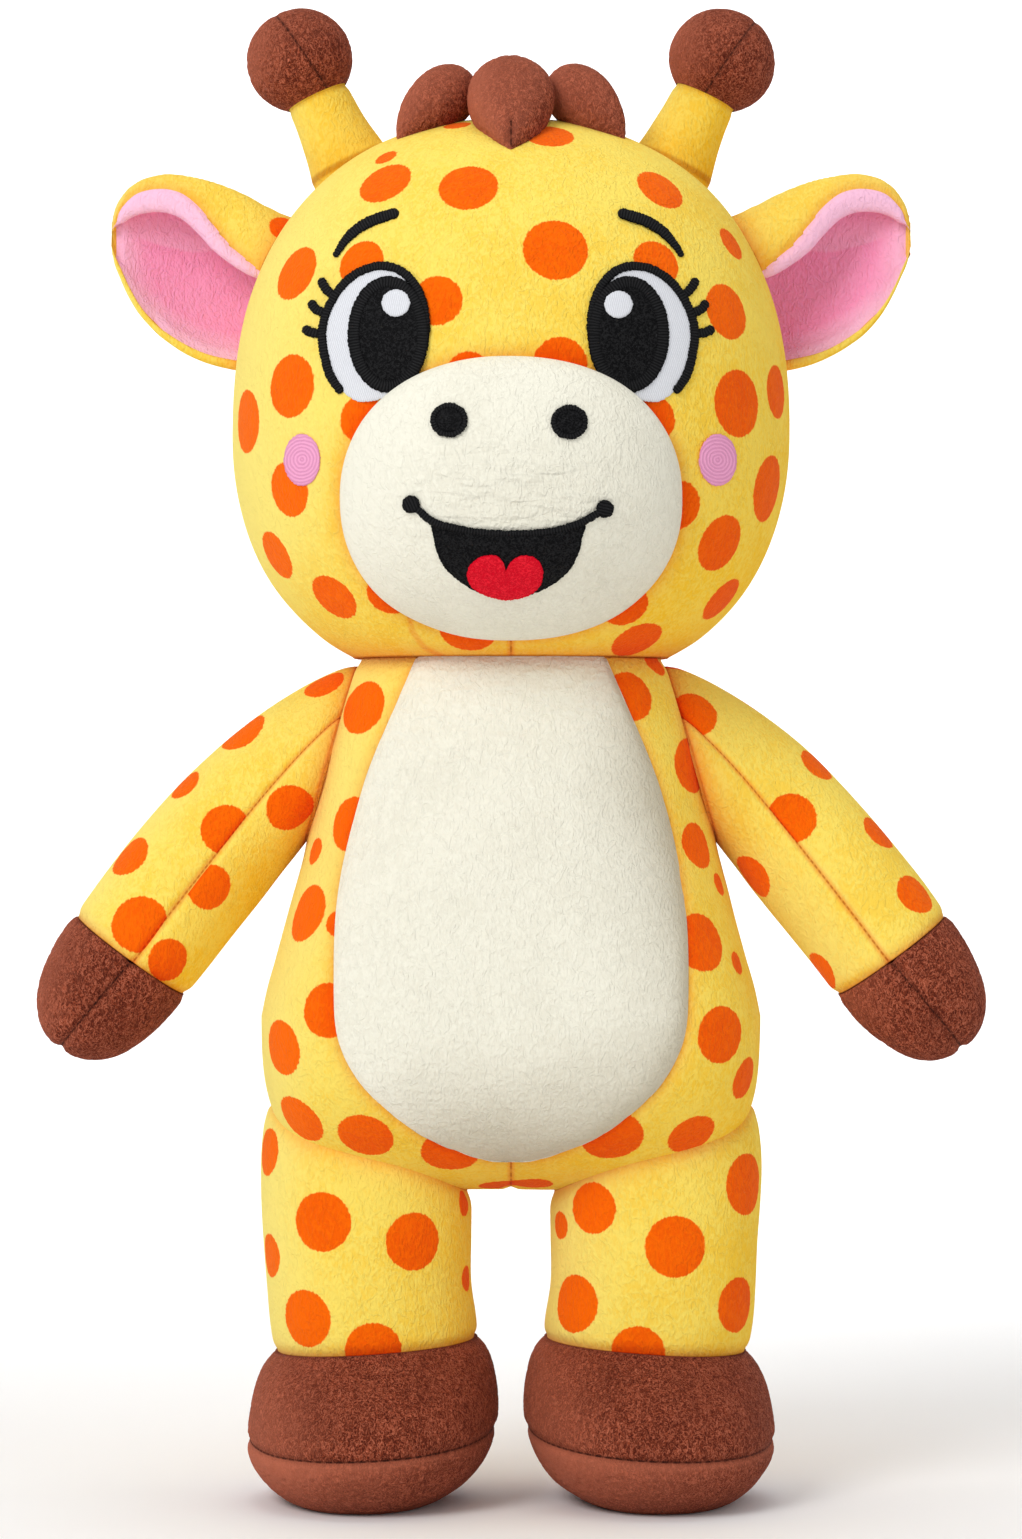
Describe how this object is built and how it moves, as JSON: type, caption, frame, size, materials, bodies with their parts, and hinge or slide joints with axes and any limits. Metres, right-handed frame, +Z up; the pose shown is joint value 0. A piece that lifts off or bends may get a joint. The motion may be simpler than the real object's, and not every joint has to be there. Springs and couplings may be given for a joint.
{
  "type": "plush giraffe",
  "caption": "Standing stuffed giraffe with a large round head, horns, cupped ears, cream belly and muzzle, and swinging arms and legs in boots.",
  "frame": {"origin": "middle of the footprint of the whole toy, on the floor that the soles rest on", "axes": "+Z up, +X to the toy's left, face towards -Y"},
  "size_m": [0.2518, 0.1456, 0.4008],
  "materials": {
    "yellow_plush": "short brushed plush, yellow with orange spots",
    "cream_plush": "short brushed plush, cream",
    "brown_plush": "short curly plush, brown",
    "pink_plush": "short brushed plush, pink",
    "black_thread": "satin-stitch embroidery, black",
    "white_thread": "satin-stitch embroidery, white",
    "pink_thread": "satin-stitch embroidery, pink",
    "red_thread": "chain-stitch embroidery, red",
    "stuffing": "white polyester fibre"
  },
  "bodies": {
    "torso": {"torso_skin": "yellow_plush", "torso_stuffing": "stuffing", "belly_panel": "cream_plush"},
    "head": {"head_skin": "yellow_plush", "head_stuffing": "stuffing", "muzzle": "cream_plush", "mouth": "black_thread", "tongue": "red_thread", "hair_front": "brown_plush", "hair_left": "brown_plush", "hair_right": "brown_plush", "horn_stalk_left": "yellow_plush", "horn_knob_left": "brown_plush", "eye_white_left": "white_thread", "eye_rim_left": "black_thread", "iris_left": "black_thread", "eye_glint_left": "white_thread", "brow_left": "black_thread", "cheek_left": "pink_thread", "nostril_left": "black_thread", "horn_stalk_right": "yellow_plush", "horn_knob_right": "brown_plush", "eye_white_right": "white_thread", "eye_rim_right": "black_thread", "iris_right": "black_thread", "eye_glint_right": "white_thread", "brow_right": "black_thread", "cheek_right": "pink_thread", "nostril_right": "black_thread"},
    "ear_left": {"ear_back_left": "yellow_plush", "ear_lining_left": "pink_plush"},
    "arm_left": {"arm_skin_left": "yellow_plush", "arm_stuffing_left": "stuffing", "hand_left": "brown_plush"},
    "leg_left": {"leg_skin_left": "yellow_plush", "leg_stuffing_left": "stuffing", "boot_upper_left": "brown_plush", "boot_sole_left": "brown_plush"},
    "ear_right": {"ear_back_right": "yellow_plush", "ear_lining_right": "pink_plush"},
    "arm_right": {"arm_skin_right": "yellow_plush", "arm_stuffing_right": "stuffing", "hand_right": "brown_plush"},
    "leg_right": {"leg_skin_right": "yellow_plush", "leg_stuffing_right": "stuffing", "boot_upper_right": "brown_plush", "boot_sole_right": "brown_plush"},
    "tail": {"tail": "yellow_plush", "tail_tuft": "brown_plush"}
  },
  "joints": [
    {"name": "head_turn", "type": "hinge", "parent": "torso", "child": "head", "pos_m": [0, 0.0071, 0.2255], "axis": [0, 0, 1], "range_deg": [-30, 30], "stiffness_Nm_per_rad": 0.15},
    {"name": "shoulder_left", "type": "hinge", "parent": "torso", "child": "arm_left", "pos_m": [0.04813, 0.0071, 0.2], "axis": [-0.9603, 0, -0.2791], "range_deg": [-30, 70], "stiffness_Nm_per_rad": 0.05},
    {"name": "shoulder_right", "type": "hinge", "parent": "torso", "child": "arm_right", "pos_m": [-0.04813, 0.0071, 0.2], "axis": [-0.9603, 0, 0.2791], "range_deg": [-30, 70], "stiffness_Nm_per_rad": 0.05},
    {"name": "hip_left", "type": "hinge", "parent": "torso", "child": "leg_left", "pos_m": [0.039, 0.0071, 0.13], "axis": [-1, 0, 0], "range_deg": [-15, 50], "stiffness_Nm_per_rad": 0.9},
    {"name": "hip_right", "type": "hinge", "parent": "torso", "child": "leg_right", "pos_m": [-0.039, 0.0071, 0.13], "axis": [-1, 0, 0], "range_deg": [-15, 50], "stiffness_Nm_per_rad": 0.9},
    {"name": "ear_left", "type": "hinge", "parent": "head", "child": "ear_left", "pos_m": [0.06695, 0.0151, 0.323], "axis": [0.3407, 0, -0.9402], "range_deg": [-20, 12], "stiffness_Nm_per_rad": 0.02},
    {"name": "ear_right", "type": "hinge", "parent": "head", "child": "ear_right", "pos_m": [-0.06695, 0.0151, 0.323], "axis": [0.3407, 0, 0.9402], "range_deg": [-20, 12], "stiffness_Nm_per_rad": 0.02},
    {"name": "tail_swing", "type": "hinge", "parent": "torso", "child": "tail", "pos_m": [0, 0.05808, 0.146], "axis": [1, 0, 0], "range_deg": [0, 75]}
  ]
}
